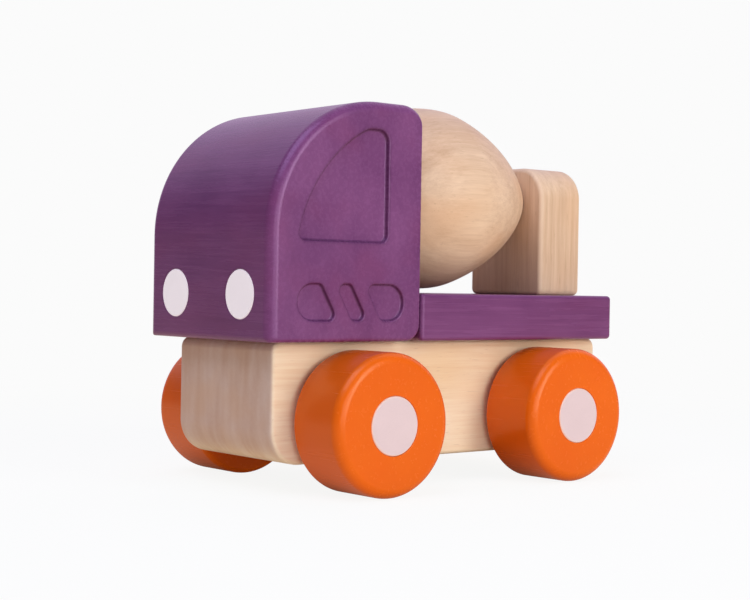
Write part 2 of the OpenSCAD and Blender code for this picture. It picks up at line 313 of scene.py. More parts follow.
def block(skin, low, high, thick, corner_radii, side_radii, recesses=()):
    """A solid block with eased edges. Its outline, drawn across the thick axis, has four rounded
    corners, anticlockwise from the lowest one. The side radii round the edges along the outline's
    lower, right, upper and left side."""
    u, v = [i for i in (X, Y, Z) if i != thick]
    half, middle = (high[thick] - low[thick]) / 2, (high[thick] + low[thick]) / 2
    outward = [np.array(way, float) for way in ((0, -1), (1, 0), (0, 1), (-1, 0))]
    spots = [(low[u], low[v]), (high[u], low[v]), (high[u], high[v]), (low[u], high[v])]
    turns = [arc_count(radius, math.pi / 2) for radius in corner_radii]
    fillet_steps = arc_count(max(side_radii), math.pi / 2)

    def corner(i, theta):
        """Samples (point, way, drop, wear and highlight) round a corner, where the side fillets have turned
        by theta.
        """
        radii = side_radii[i - 1], side_radii[i]
        inset = [r * (1 - math.sin(theta)) for r in radii]
        drop = [r * (1 - math.cos(theta)) for r in radii]
        reach = [max(corner_radii[i], x) for x in inset]
        ways = outward[i - 1], outward[i]
        centre = np.array(spots[i]) - reach[0] * ways[0] - reach[1] * ways[1]
        samples = []
        for k in range(turns[i] + 1):
            a = math.pi / 2 * k / turns[i]
            c, s = math.cos(a), math.sin(a)
            point = centre + ways[0] * (reach[0] - inset[0]) * c + ways[1] * (reach[1] - inset[1]) * s
            sharp = min(1.0, 3 / corner_radii[i]) * math.sin(2 * a)
            wear = max(math.sin(2 * theta), sharp * math.sin(theta), 0.0)
            samples.append((point, ways[0] * c + ways[1] * s, drop[0] * c * c + drop[1] * s * s, wear))
        return samples

    def row(samples, side, theta):
        points, normals = np.zeros((len(samples), 3)), np.zeros((len(samples), 3))
        points[:, [u, v]] = [point for point, *_ in samples]
        points[:, thick] = [middle + side * (half - drop) for _, _, drop, _ in samples]
        normals[:, [u, v]] = [way * math.sin(theta) for _, way, *_ in samples]
        normals[:, thick] = side * math.cos(theta)
        return Row(skin, points, normals, [wear for *_, wear in samples])

    thetas = [math.pi / 2 * k / fillet_steps for k in range(fillet_steps + 1)]
    outlines = {}
    for side in (-1, 1):
        rows = [row([sample for i in range(4) for sample in corner(i, theta)], side, theta)
                for theta in thetas]
        for inner, outer in zip(rows, rows[1:]):
            skin.strip(inner, outer, closed=True)
        outlines[thick, side] = rows[0].points[:, [u, v]]

    rims = [[row(corner(i, math.pi / 2), side, math.pi / 2) for side in (1, -1)] for i in range(4)]
    for one, other in rims:
        skin.strip(one, other)
    for i, key in enumerate(((v, -1), (u, 1), (v, 1), (u, -1))):
        here, there = rims[i], rims[(i + 1) % 4]
        square = [here[0].points[-1], there[0].points[0], there[1].points[0], here[1].points[-1]]
        across = [axis for axis in (X, Y, Z) if axis != key[0]]
        outlines[key] = np.array(square)[:, across]

    faces = {(axis, side): Face(axis, side, (low if side < 0 else high)[axis]) for axis, side in outlines}
    holes = {key: [] for key in faces}
    for recess in recesses:
        key = recess.axis, recess.side
        holes[key].append(recess.cut_in(skin, faces[key]))
        if recess.through:
            holes[recess.axis, -recess.side].append(holes[key][-1])
    for key, face in faces.items():
        skin.fill(face, outlines[key], holes[key])


# ---- turned pieces ----

def exposure(before, sample, after):
    """How tightly a path bends outwards at a sample: 1 on a small edge, and 0 on a flat stretch."""
    turns = [a[0] * b[1] - a[1] * b[0] for a, b in ((before[1], sample[1]), (sample[1], after[1]))]
    if min(turns) < 1e-4:
        return 0.0
    length = np.linalg.norm(sample[0] - before[0]) + np.linalg.norm(after[0] - sample[0])
    return min(1.0, 1.5 * sum(turns) / max(length, 1e-6))


def turned(skin, origin, axis, samples, steps, closed=False):
    """Turns a path round an axis. A sample's point is (radius, distance along the axis)."""
    along = np.array(axis, float)
    first = np.eye(3)[(int(np.argmax(np.abs(along))) + 1) % 3]
    second = np.cross(along, first)
    out = np.array([first * math.cos(a) + second * math.sin(a) for a in around(steps)])
    count = len(samples)
    rows = []
    for i, ((radius, distance), way) in enumerate(samples):
        wear = exposure(samples[i - 1], samples[i], samples[(i + 1) % count])
        points = np.array(origin) + out * radius + along * distance
        rows.append(Row(skin, points, out * way[0] + along * way[1], wear))
    for k in range(count if closed else count - 1):
        j = (k + 1) % count
        if math.dist(samples[k][0], samples[j][0]) > 10 ** -WELD_DIGITS:
            skin.strip(rows[k], rows[j], closed=True)


def peg(skin, origin, axis, radius, length):
    """A round peg with eased ends, whose lower end is at the origin."""
    turned(skin, origin, axis, rounded_path(
        [(0, 0, 0), (radius, 0, PEG_EASE), (radius, length, PEG_EASE), (0, length, 0)], closed=False),
        PEG_STEPS)


# ---- materials ----

SEED_STEP = (137.1, 71.7, 39.3)  # how far apart two seeds' places in the noise are, in millimetres
WOOD_RELIEF = 0.05  # how deep the fibres are, in millimetres
DISC_RELIEF = 0.03
END_GRAIN_CALM = 0.55  # how much weaker the fibres' pattern is where they are cut across


class Nodes:
    """The nodes of a new material or world, and a few words for adding to them."""

    def __init__(self, owner):
        self.owner = owner
        owner.use_nodes = True
        self.tree = owner.node_tree

    def put(self, socket, value):
        if isinstance(value, bpy.types.NodeSocket):
            self.tree.links.new(value, socket)
        else:
            socket.default_value = value

    def set(self, node, **inputs):
        """Sets a node's inputs, with underscores for the spaces in their names."""
        for name, value in inputs.items():
            self.put(self.tree.nodes[node].inputs[name.replace("_", " ")], value)

    def node(self, kind, inputs, output=0, **settings):
        made = self.tree.nodes.new("ShaderNode" + kind)
        for setting, value in settings.items():
            setattr(made, setting, value)
        for socket, value in inputs.items():
            self.put(made.inputs[socket], value)
        return made.outputs[output]

    def math(self, operation, a, b=0.0, clamp=False):
        return self.node("Math", {0: a, 1: b}, operation=operation, use_clamp=clamp)

    def scaled(self, value, factor):
        return self.math("MULTIPLY", value, factor)

    def total(self, *values):
        sum_so_far = values[0]
        for value in values[1:]:
            sum_so_far = self.math("ADD", sum_so_far, value)
        return sum_so_far

    def swing(self, noise, strength):
        """Noise, made to swing round zero."""
        return self.scaled(self.math("SUBTRACT", noise, 0.5), 2 * strength)

    def vector(self, operation, a, b):
        return self.node("VectorMath", {0: a, 1: b}, operation=operation)

    def noise(self, vector, stretch, detail=3.0, roughness=0.55, output="Fac"):
        """Noise from 0 to 1. Stretch is how many cycles it has in a millimetre, along each axis."""
        place = self.vector("MULTIPLY", vector, stretch)
        return self.node("TexNoise", {"Vector": place, "Scale": 1.0, "Detail": detail,
                                      "Roughness": roughness}, output=output)

    def span(self, value, low, high):
        """Value, made to run smoothly from 0 at low to 1 at high."""
        return self.node("MapRange", {"Value": value, "From Min": low, "From Max": high},
                         interpolation_type="SMOOTHSTEP")

    def mix(self, share, a, b, blend="MIX"):
        made = self.tree.nodes.new("ShaderNodeMix")
        made.data_type = "RGBA"
        made.blend_type = blend
        for socket, value in zip([made.inputs[0], made.inputs[6], made.inputs[7]], (share, a, b)):
            self.put(socket, value)
        return made.outputs[2]

    def attribute(self, name):
        return self.node("Attribute", {}, output="Fac", attribute_name=name)

    def end_grain(self, grain):
        """From 0, where the surface runs along the grain, to 1, where it is cut square to it."""
        normal = self.node("TexCoord", {}, output="Normal")
        facing = self.node("SeparateXYZ", {0: normal}, output=grain)
        return self.span(self.math("ABSOLUTE", facing), 0.5, 0.95)

    def place(self, seed, along=X):
        """Where a point of the piece is, in millimetres, with the along axis first. Each seed gives
        a place of its own in the noise."""
        split = self.tree.nodes.new("ShaderNodeSeparateXYZ")
        self.put(split.inputs[0], self.vector(
            "MULTIPLY", self.node("TexCoord", {}, output="Object"), (1 / MM,) * 3))
        order = [along, *[axis for axis in (X, Y, Z) if axis != along]]
        turned_round = self.node("CombineXYZ", {i: split.outputs[axis] for i, axis in enumerate(order)})
        return self.vector("ADD", turned_round, tuple(step * seed for step in SEED_STEP))


def wood(name, grain, seed, dark, light, warm, worn_and_lit, deep, rings, fibre, pores, patches, wear,
         roughness, gloss, bump, pooling_and_shade=0.5, tint=(1, 1, 1), end_tint=(1, 1, 1)):
    """Wood whose grain runs along an axis. Dark, light, warm, worn and lit, and deep are tones, as linear
    colours, and end_tint is what end grain does to them. Rings, fibre, pores, patches, wear and
    highlight, bump and pooling and shade say how strongly each of them shows, and tint is the colour of
    the shine. Worn and lit lightens the edges, as wear and as a painted highlight. Deep darkens the
    pores, and darkens the inner corners as pooled stain and as painted shade."""
    nodes = Nodes(bpy.data.materials.new(name))
    place = nodes.place(seed, grain)

    # the fibres wander slowly along the piece
    bend = nodes.noise(place, (0.006, 0.02, 0.02), detail=1.0, output="Color")
    bend = nodes.vector("MULTIPLY", nodes.vector("SUBTRACT", bend, (0.5,) * 3), (0.0, 5.0, 5.0))
    bent = nodes.vector("ADD", place, bend)

    band = nodes.noise(bent, (0.004, 0.28, 0.05), detail=1.0)
    streak = nodes.noise(bent, (0.025, 0.8, 0.8), detail=4.0, roughness=0.6)
    hair = nodes.noise(bent, (0.08, 3.0, 3.0), detail=2.0, roughness=0.6)
    vessel = nodes.span(nodes.noise(bent, (0.22, 3.4, 3.4), detail=1.0), 0.66, 0.8)
    cloud = nodes.noise(place, (0.03, 0.045, 0.045), detail=3.0)
    flush = nodes.span(nodes.noise(bent, (0.02, 0.06, 0.06), detail=2.0), 0.45, 0.75)

    # cut fibres show less than fibres that lie along the surface
    across = nodes.end_grain(grain)
    fibres = nodes.total(nodes.swing(streak, 1.2 * fibre), nodes.swing(hair, 0.6 * fibre))
    fibres = nodes.math("MULTIPLY", fibres, nodes.math("SUBTRACT", 1.0, nodes.scaled(across, END_GRAIN_CALM)))
    tone = nodes.total(nodes.swing(band, 1.6 * rings), fibres, nodes.swing(cloud, patches))
    tone = nodes.math("ADD", tone, 0.5, clamp=True)
    colour = nodes.mix(tone, (*dark, 1.0), (*light, 1.0))
    colour = nodes.mix(nodes.scaled(flush, patches), colour, (*warm, 1.0))
    colour = nodes.mix(nodes.scaled(vessel, pores), colour, (*deep, 1.0))
    # inner corners and recess rims darkened towards the deep tone: pooled stain and painted shade
    colour = nodes.mix(nodes.scaled(nodes.attribute("pool_and_shade"), pooling_and_shade), colour, (*deep, 1.0))
    # exposed edges lightened towards the worn and lit tone: wear and a painted highlight
    colour = nodes.mix(nodes.scaled(nodes.attribute("wear"), wear), colour, (*worn_and_lit, 1.0))
    colour = nodes.mix(across, colour, (*end_tint, 1.0), blend="MULTIPLY")

    height = nodes.total(streak, nodes.scaled(hair, 0.25), nodes.scaled(vessel, -2 * pores))
    nodes.set("Principled BSDF", Base_Color=colour, Specular_IOR_Level=gloss, Specular_Tint=(*tint, 1),
              Roughness=nodes.total(nodes.swing(streak, 0.06), nodes.scaled(vessel, 0.5 * pores), roughness),
              Normal=nodes.node("Bump", {"Strength": bump, "Distance": WOOD_RELIEF * MM, "Height": height}))
    return nodes.owner


def disc_finish(name, seed, middle, rim, painted_glow=0.0):
    """A smooth pale disc with faint marks. Middle and rim are tones, as linear colours. The rim tone is a
    painted highlight along the rounded edge, and painted glow makes the disc give off light of the middle
    tone.
    """
    nodes = Nodes(bpy.data.materials.new(name))
    place = nodes.place(seed)
    cloud = nodes.noise(place, (0.12,) * 3, detail=3.0)
    speck = nodes.noise(place, (1.6,) * 3, detail=2.0)
    shade = nodes.total(nodes.scaled(nodes.span(cloud, 0.3, 0.7), 0.3),
                        nodes.scaled(nodes.span(speck, 0.45, 0.75), 0.2))
    colour = nodes.mix(shade, (*middle, 1.0), (*[0.9 * c for c in middle], 1.0))
    # the rounded edge takes the rim tone: a painted highlight
    colour = nodes.mix(nodes.attribute("wear"), colour, (*rim, 1.0))
    # painted glow: the disc gives off light of its middle tone
    nodes.set("Principled BSDF", Base_Color=colour, Specular_IOR_Level=0.4,
              Emission_Color=(*middle, 1.0), Emission_Strength=painted_glow,
              Roughness=nodes.total(nodes.scaled(speck, 0.15), 0.38),
              Normal=nodes.node("Bump", {"Strength": 0.2, "Distance": DISC_RELIEF * MM, "Height": speck}))
    return nodes.owner


def linear(red, green, blue):
    """The linear colour of an sRGB colour given from 0 to 255."""
    parts = (red / 255, green / 255, blue / 255)
    return tuple(c / 12.92 if c <= 0.04045 else ((c + 0.055) / 1.055) ** 2.4 for c in parts)


# worn and lit, with wear and highlight, lightens each wood's edges: partly wear, partly a painted highlight
PURPLE = dict(dark=linear(92, 42, 90), light=linear(134, 80, 128), warm=linear(118, 58, 102),
              worn_and_lit=linear(128, 76, 122), deep=linear(62, 26, 58), rings=0.12, fibre=0.3, pores=0.02,
              patches=0.6, wear=0.1, roughness=0.27, gloss=0.45, bump=0.06, tint=(0.9, 0.6, 1.0),
              end_tint=(1.02, 1.05, 1.06))
NATURAL = dict(dark=linear(200, 164, 131), light=linear(236, 209, 179), warm=linear(222, 179, 138),
               worn_and_lit=linear(244, 218, 188), deep=linear(140, 96, 66), rings=0.3, fibre=0.45, pores=0.3,
               patches=0.5, wear=0.4, roughness=0.48, gloss=0.25, bump=0.2)
# the chassis's wood: lighter than the rest, partly its own paler wood and partly painted light against the
# shade that the wheels throw on its sides; its end grain darker and cooler, partly the wood's own and partly
# painted shade on the chassis's front
PALE_AND_LIT = dict(NATURAL, dark=linear(232, 200, 162), light=linear(254, 240, 212), warm=linear(246, 214, 168),
            worn_and_lit=linear(254, 240, 215), deep=linear(170, 130, 96), rings=0.4, fibre=0.4,
            wear=0.15, end_tint=(0.79, 0.73, 0.81))
ORANGE = dict(dark=linear(228, 94, 6), light=linear(242, 110, 13), warm=linear(236, 98, 8),
              worn_and_lit=linear(246, 122, 22), deep=linear(170, 60, 4), rings=0.02, fibre=0.08, pores=0.01,
              patches=0.5, wear=0.2, roughness=0.26, gloss=0.42, bump=0.02, tint=(1.0, 0.72, 0.52))


# ---- pieces ----

def box_of(node):
    """A CAD node's lowest and highest corner, in millimetres."""
    return tuple(np.array(corner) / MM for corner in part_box(node))


chassis_low, chassis_high = box_of("chassis_block")
cab_low, cab_high = box_of("cab_block")
deck_low, deck_high = box_of("deck_board")
post_low, post_high = box_of("drum_post")
drum_low, drum_high = box_of("mixer_drum")
spindle_low, spindle_high = box_of("drum_spindle")

drum_z = (drum_low[Z] + drum_high[Z]) / 2
spindle_r = (spindle_high[Z] - spindle_low[Z]) / 2


def dowels_of(node):
    """The radius, the places across the truck's floor plan and the lowest and highest level of a
    node that holds two upright dowels."""
    low, high = box_of(node)
    spread = X if high[X] - low[X] > high[Y] - low[Y] else Y
    radius = (high - low)[Y if spread == X else X] / 2
    middle = (low + high)[:2] / 2
    places = []
    for end in (low[spread] + radius, high[spread] - radius):
        place = middle.copy()
        place[spread] = end
        places.append(place)
    return radius, places, low[Z], high[Z]


def dowel_holes(node, side, level):
    """The holes for a pair of dowels, in the face at that level that looks up (1) or down (-1)."""
    radius, places, bottom, top = dowels_of(node)
    depth = abs((top if side < 0 else bottom) - level) + DOWEL_END_GAP
    return [drilled(Z, side, place, radius + GLUE_GAP, depth) for place in places]


def build_dowels(name, node):
    skin = Skin()
    radius, places, bottom, top = dowels_of(node)
    for x, y in places:
        peg(skin, (x, y, bottom), (0, 0, 1), radius, top - bottom)
    skin.piece(name, "truck_body", "natural_wood", [node], wood(name + "_wood", Z, 9, **NATURAL))


# the window: distances behind the cab's front and above its underside
WINDOW_DEPTH = 1.2
# the window's rim is darkened: pooled stain and painted shade
WINDOW_CUT = dict(rim=0.45, corner=0.7, draft=12, edge_pool_and_shade=0.6)
SILL = 27.7
WINDOW_H = 31.8
WINDOW_BACK = 40.6
CURVE_R = 43.4
CURVE_BACK = 52.1
CURVE_UP = 20.3
SILL_FRONT_R = 2
SILL_REAR_R = 2.5
TOP_FRONT_R = 6
TOP_REAR_R = 3.5


def window_outline(front, under):
    """An upright rear edge, and a front edge that curves back to the top."""
    centre = np.array([front - CURVE_BACK, under + CURVE_UP])
    sill, top, back = under + SILL, under + SILL + WINDOW_H, front - WINDOW_BACK

    def nestled(level, radius):
        """The centre of a rounding that touches the curve from within, and the curve's angle there."""
        rise = level - centre[1]
        reach = math.sqrt((CURVE_R - radius) ** 2 - rise ** 2)
        return centre + (reach, rise), math.degrees(math.atan2(rise, reach))

    low, low_turn = nestled(sill + SILL_FRONT_R, SILL_FRONT_R)
    high, high_turn = nestled(top - TOP_FRONT_R, TOP_FRONT_R)
    return [*arc(low, SILL_FRONT_R, -90, low_turn), *arc(centre, CURVE_R, low_turn, high_turn),
            *arc(high, TOP_FRONT_R, high_turn, 90),
            *arc((back + TOP_REAR_R, top - TOP_REAR_R), TOP_REAR_R, 90, 180),
            *arc((back + SILL_REAR_R, sill + SILL_REAR_R), SILL_REAR_R, 180, 270)]


VENT_DEPTH = 1.0
# the vents' rims are darkened: pooled stain and painted shade
VENT_CUT = dict(rim=0.45, corner=0.6, draft=14, edge_pool_and_shade=0.4)
VENT_LOW = 5.8
VENT_H = 10.3
VENT_FRONT = 9.5
VENT_ROW_L = 37.3
VENT_END_R = VENT_H / 2 - 0.05
RIB_SLANT = 30
RIB_W = 4.8
RIB_PITCH = 10.4
RIB_END_R = 2


def vent_outlines(front, under):
    """Three vents in a row, with slanting ribs between them and round ends."""
    middle = VENT_FRONT + VENT_ROW_L / 2
    ribs = middle - RIB_PITCH / 2, middle + RIB_PITCH / 2
    front_end, rear_end = (VENT_FRONT, 0, VENT_END_R), (VENT_FRONT + VENT_ROW_L, 0, VENT_END_R)
    sides = [(rib + shift, RIB_SLANT, RIB_END_R) for rib in ribs for shift in (-RIB_W / 2, RIB_W / 2)]
    outlines = []
    for back, ahead in ((sides[0], front_end), (sides[2], sides[1]), (rear_end, sides[3])):
        corners = []
        for (distance, slant, radius), rise in ((back, -1), (ahead, -1), (ahead, 1), (back, 1)):
            lean = rise * VENT_H / 2 * math.tan(math.radians(slant))
            corners.append((front - distance + lean, under + VENT_LOW + VENT_H * (rise + 1) / 2, radius))
        outlines.append(rounded_path(corners))
    return outlines


# in the order that block takes them in
CAB_CORNER_RADII = (5, 1.5, 38, 6)
CAB_SIDE_RADII = (1.2, 3, 3, 1.2)
# a dark ring round each headlight: pooled stain and painted shade
HEADLIGHT_CUT = dict(rim=0.2, corner=0.1, edge_pool_and_shade=0.4)


def build_cab():
    skin = Skin()
    recesses = dowel_holes("cab_dowels", -1, cab_low[Z])
    for side in (-1, 1):
        recesses.append(Recess(Y, side, window_outline(cab_high[X], cab_low[Z]),
                               pocket_profile(WINDOW_DEPTH, **WINDOW_CUT)))
        for outline in vent_outlines(cab_high[X], cab_low[Z]):
            recesses.append(Recess(Y, side, outline, pocket_profile(VENT_DEPTH, **VENT_CUT)))
    for node in ("headlight_left", "headlight_right"):
        low, high = box_of(node)
        middle = (low + high) / 2
        recesses.append(drilled(X, 1, (middle[Y], middle[Z]), (high - low)[Z] / 2 + GLUE_GAP,
                                high[X] - low[X], **HEADLIGHT_CUT))
    recesses.append(drilled(X, -1, (0, drum_z), spindle_r + GLUE_GAP,
                            spindle_high[X] + DOWEL_END_GAP - cab_low[X]))
    block(skin, cab_low, cab_high, Y, CAB_CORNER_RADII, CAB_SIDE_RADII, recesses)
    skin.piece("cab", "truck_body", "purple_stained_wood", ["cab_block"],
               wood("cab_stain", Y, 1, **PURPLE))


DECK_EASE = 1.2


def build_deck():
    skin = Skin()
    recesses = dowel_holes("deck_dowels", -1, deck_low[Z]) + dowel_holes("post_dowels", 1, deck_high[Z])
    block(skin, deck_low, deck_high, Y, (DECK_EASE,) * 4, (DECK_EASE,) * 4, recesses)
    skin.piece("deck", "truck_body", "purple_stained_wood", ["deck_board"],
               wood("deck_stain", X, 2, **PURPLE))


CHASSIS_CORNER_RADII = (10, 10, 3, 3)
CHASSIS_EASE = 1.2
AXLE_BORE_RIM = 0.3


def build_chassis():
    skin = Skin()
    recesses = dowel_holes("cab_dowels", 1, chassis_high[Z]) + dowel_holes("deck_dowels", 1, chassis_high[Z])
    for node in ("front_axle", "rear_axle"):
        low, high = box_of(node)
        middle = (low + high) / 2
        bore = circle((middle[X], middle[Z]), (high - low)[Z] / 2 + RUNNING_GAP)
        length = chassis_high[Y] - chassis_low[Y]
        recesses.append(Recess(Y, 1, bore, tunnel_profile(length, AXLE_BORE_RIM), through=True))
    block(skin, chassis_low, chassis_high, Y, CHASSIS_CORNER_RADII, (CHASSIS_EASE,) * 4, recesses)
    skin.piece("chassis", "truck_body", "natural_wood", ["chassis_block"],
               wood("chassis_wood", X, 3, **PALE_AND_LIT))


POST_CORNER_RADII = (2, 2, 10, 10)
POST_SIDE_RADII = (1.2, 1.5, 1.5, 1.5)


def build_post():
    skin = Skin()
    recesses = [*dowel_holes("post_dowels", -1, post_low[Z]),
                drilled(X, 1, (0, drum_z), spindle_r + GLUE_GAP,
                        post_high[X] - spindle_low[X] + DOWEL_END_GAP)]
    block(skin, post_low, post_high, X, POST_CORNER_RADII, POST_SIDE_RADII, recesses)
    skin.piece("post", "truck_body", "natural_wood", ["drum_post"],
               wood("post_wood", Z, 4, **NATURAL))


# the drum's profile: three arcs that run into each other
BELLY_BACK = 24
BELLY_ARC_R = 40
SHOULDER_ARC_R = 20
NOSE_ARC_R = 71
SHOULDER_FROM = 5.3
SHOULDER_TO = 16.7
DRUM_RIM_R = 1.0
DRUM_TIP_R = 1.2
DRUM_BORE_EASE = 0.4


def drum_profile(radius, first, last, bore):
    """The drum's path, as (radius, distance behind the cab), from first to last."""
    def way(angle):
        return np.array([math.cos(math.radians(angle)), math.sin(math.radians(angle))])

    def end_rounding(centre, arc_r, edge_r, distance):
        """Centre and angle of the rounding between an arc and the flat end at that distance."""
        rise = distance - centre[1]
        angle = math.degrees(math.asin(rise / (arc_r - edge_r)))
        return centre + (arc_r - edge_r) * way(angle), angle

    belly = np.array([radius - BELLY_ARC_R, BELLY_BACK])
    shoulder = belly + (BELLY_ARC_R - SHOULDER_ARC_R) * way(SHOULDER_FROM)
    nose = shoulder - (NOSE_ARC_R - SHOULDER_ARC_R) * way(SHOULDER_TO)
    rim, rim_turn = end_rounding(belly, BELLY_ARC_R, DRUM_RIM_R, first + DRUM_RIM_R)
    tip, tip_turn = end_rounding(nose, NOSE_ARC_R, DRUM_TIP_R, last - DRUM_TIP_R)
    ease = DRUM_BORE_EASE
    return [*arc((bore + ease, first + ease), ease, 180, 270), *arc(rim, DRUM_RIM_R, -90, rim_turn),
            *arc(belly, BELLY_ARC_R, rim_turn, SHOULDER_FROM),
            *arc(shoulder, SHOULDER_ARC_R, SHOULDER_FROM, SHOULDER_TO),
            *arc(nose, NOSE_ARC_R, SHOULDER_TO, tip_turn), *arc(tip, DRUM_TIP_R, tip_turn, 90),
            *arc((bore + ease, last - ease), ease, 90, 180)]


def build_drum():
    skin = Skin()
    profile = drum_profile((drum_high[Z] - drum_low[Z]) / 2, cab_low[X] - drum_high[X],
                           cab_low[X] - drum_low[X], spindle_r + RUNNING_GAP)
    turned(skin, (cab_low[X], 0, drum_z), (-1, 0, 0), profile, DRUM_STEPS, closed=True)
    skin.piece("drum", "drum", "turned_natural_wood", ["mixer_drum"],
               wood("drum_wood", X, 5, **NATURAL))


def build_spindle():
    skin = Skin()
    peg(skin, (spindle_low[X], 0, drum_z), (1, 0, 0), spindle_r, spindle_high[X] - spindle_low[X])
    skin.piece("spindle", "truck_body", "natural_wood", ["drum_spindle"],
               wood("spindle_wood", X, 6, **NATURAL))


# the rim tones are painted highlights along the discs' rounded edges
HEADLIGHT_TONES = dict(middle=linear(240, 236, 238), rim=linear(246, 232, 240))
HUB_DISC_TONES = dict(middle=linear(226, 206, 208), rim=linear(244, 214, 200))
# painted glow: the headlights give off a little light, lightening them in the shade of the cab's front
HEADLIGHT_PAINTED_GLOW = 0.28


def build_headlight(name, node, seed):
    skin = Skin()
    low, high = box_of(node)
    middle, radius, depth = (low + high) / 2, (high - low)[Z] / 2, high[X] - low[X]
    turned(skin, (low[X], middle[Y], middle[Z]), (1, 0, 0), rounded_path(
        [(0, 0, 0), (radius, 0, 0.1), (radius, depth, 0.3), (0, depth, 0)], closed=False), DISC_STEPS)
    skin.piece(name, "truck_body", "pale_disc", [node],
               disc_finish(name + "_finish", seed, **HEADLIGHT_TONES, painted_glow=HEADLIGHT_PAINTED_GLOW))


BOSS_R = 8
BOSS_L = 1.2
TREAD_INNER_R = 1.5
TREAD_OUTER_R = 3


def build_wheel(name, node, cap_node, axle_node, body, seed):
    skin = Skin()
    low, high = box_of(node)
    cap_low, cap_high = box_of(cap_node)
    axle_low, axle_high = box_of(axle_node)
    middle, radius = (low + high) / 2, (high - low)[Z] / 2
    side = math.copysign(1, middle[Y])
    outer, boss = sorted((abs(low[Y]), abs(high[Y])), reverse=True)
    pocket_r, pocket_depth = (cap_high - cap_low)[Z] / 2 + GLUE_GAP, cap_high[Y] - cap_low[Y]
    bore = (axle_high - axle_low)[Z] / 2 + GLUE_GAP
    inner = boss + BOSS_L
    profile = rounded_path([
        (bore, boss, 0.3), (BOSS_R, boss, 0.4), (BOSS_R, inner, 0.3), (radius, inner, TREAD_INNER_R),
        (radius, outer, TREAD_OUTER_R), (pocket_r, outer, 0.25), (pocket_r, outer - pocket_depth, 0.15),
        (bore, outer - pocket_depth, 0.2)])
    turned(skin, (middle[X], 0, middle[Z]), (0, side, 0), profile, WHEEL_STEPS, closed=True)
    skin.piece(name, body, "orange_stained_wood", [node], wood(name + "_paint", Y, seed, **ORANGE))


def build_hub_disc(name, node, body, seed):
    skin = Skin()
    low, high = box_of(node)
    middle, radius = (low + high) / 2, (high - low)[Z] / 2
    side = math.copysign(1, middle[Y])
    outer, inner = sorted((abs(low[Y]), abs(high[Y])), reverse=True)
    turned(skin, (middle[X], 0, middle[Z]), (0, side, 0), rounded_path(
        [(0, inner, 0), (radius, inner, 0.15), (radius, outer, 0.4), (0, outer, 0)], closed=False),
        DISC_STEPS)
    skin.piece(name, body, "pale_disc", [node],
               disc_finish(name + "_finish", seed, **HUB_DISC_TONES))


def build_axle(name, node, body, seed):
    skin = Skin()
    low, high = box_of(node)
    middle, radius = (low + high) / 2, (high - low)[Z] / 2
    peg(skin, (middle[X], low[Y], middle[Z]), (0, 1, 0), radius, high[Y] - low[Y])
    skin.piece(name, body, "natural_wood", [node], wood(name + "_wood", Y, seed, **NATURAL))


build_cab()
build_deck()
build_chassis()
build_post()
build_drum()
build_spindle()
build_dowels("cab_pegs", "cab_dowels")
build_dowels("deck_pegs", "deck_dowels")
build_dowels("post_pegs", "post_dowels")
for number, side in enumerate(("left", "right")):
    build_headlight(side + "_headlight", "headlight_" + side, number)
for row, end in enumerate(("front", "rear")):
    wheelset, axle_node = end + "_wheelset", end + "_axle"
    build_axle(end + "_axle_rod", axle_node, wheelset, 20 + row)
    for number, side in enumerate(("left", "right")):
        seed = 10 + 2 * row + number
        build_wheel(f"{end}_{side}_wheel", f"wheel_{end}_{side}", f"hub_cap_{end}_{side}", axle_node,
                    wheelset, seed)
        build_hub_disc(f"{end}_{side}_hub_disc", f"hub_cap_{end}_{side}", wheelset, seed)


# ---- camera, light and floor ----

CAMERA_PLACE = (0.3038, 0.3626, 0.0576)
CAMERA_YAW = 50.6
CAMERA_PITCH = -0.476
CAMERA_ROLL = 0.957
CAMERA_LENS = 73.7
WHITE = 0.965


def place_camera():
    yaw, pitch, roll = (math.radians(a) for a in (CAMERA_YAW, CAMERA_PITCH, CAMERA_ROLL))
    ahead = Vector((-math.cos(yaw) * math.cos(pitch), -math.sin(yaw) * math.cos(pitch), math.sin(pitch)))
    right = ahead.cross(Vector((0, 0, 1))).normalized()
    up = right.cross(ahead)
    across = math.cos(roll) * right + math.sin(roll) * up
    upward = math.cos(roll) * up - math.sin(roll) * right
    camera = bpy.data.objects.new("camera", bpy.data.cameras.new("camera"))
    camera.data.lens = CAMERA_LENS
    camera.data.clip_start = 0.01
    camera.data.clip_end = 50
    turn = Matrix((across, upward, -ahead)).transposed()
    camera.matrix_world = Matrix.Translation(CAMERA_PLACE) @ turn.to_4x4()
    bpy.context.scene.collection.objects.link(camera)
    bpy.context.scene.camera = camera


def softbox(name, azimuth, elevation, distance, width, height, power, colour):
    """An area light that faces the truck. Azimuth is from the front towards the truck's left."""
    lamp = bpy.data.lights.new(name, "AREA")
    lamp.shape = "RECTANGLE"
    lamp.size, lamp.size_y = width, height
    lamp.energy = power
    lamp.color = colour
    light = bpy.data.objects.new(name, lamp)
    a, e = math.radians(azimuth), math.radians(elevation)
    way = Vector((math.cos(e) * math.cos(a), math.cos(e) * math.sin(a), math.sin(e)))
    light.location = Vector((0, 0, 0.05)) + way * distance
    light.rotation_mode = "QUATERNION"
    light.rotation_quaternion = way.to_track_quat("Z", "Y")
    bpy.context.scene.collection.objects.link(light)


WALL_AZIMUTH = -129.4
WALL_ELEVATION = 30
WALL_FROM = 0.45  # the cosine of the angle from the wall's middle, where its light begins
WALL_TO = 0.75
WALL_LIGHT = (0.78, 0.64, 0.85)
DIM_LIGHT = (0.14, 0.145, 0.2)


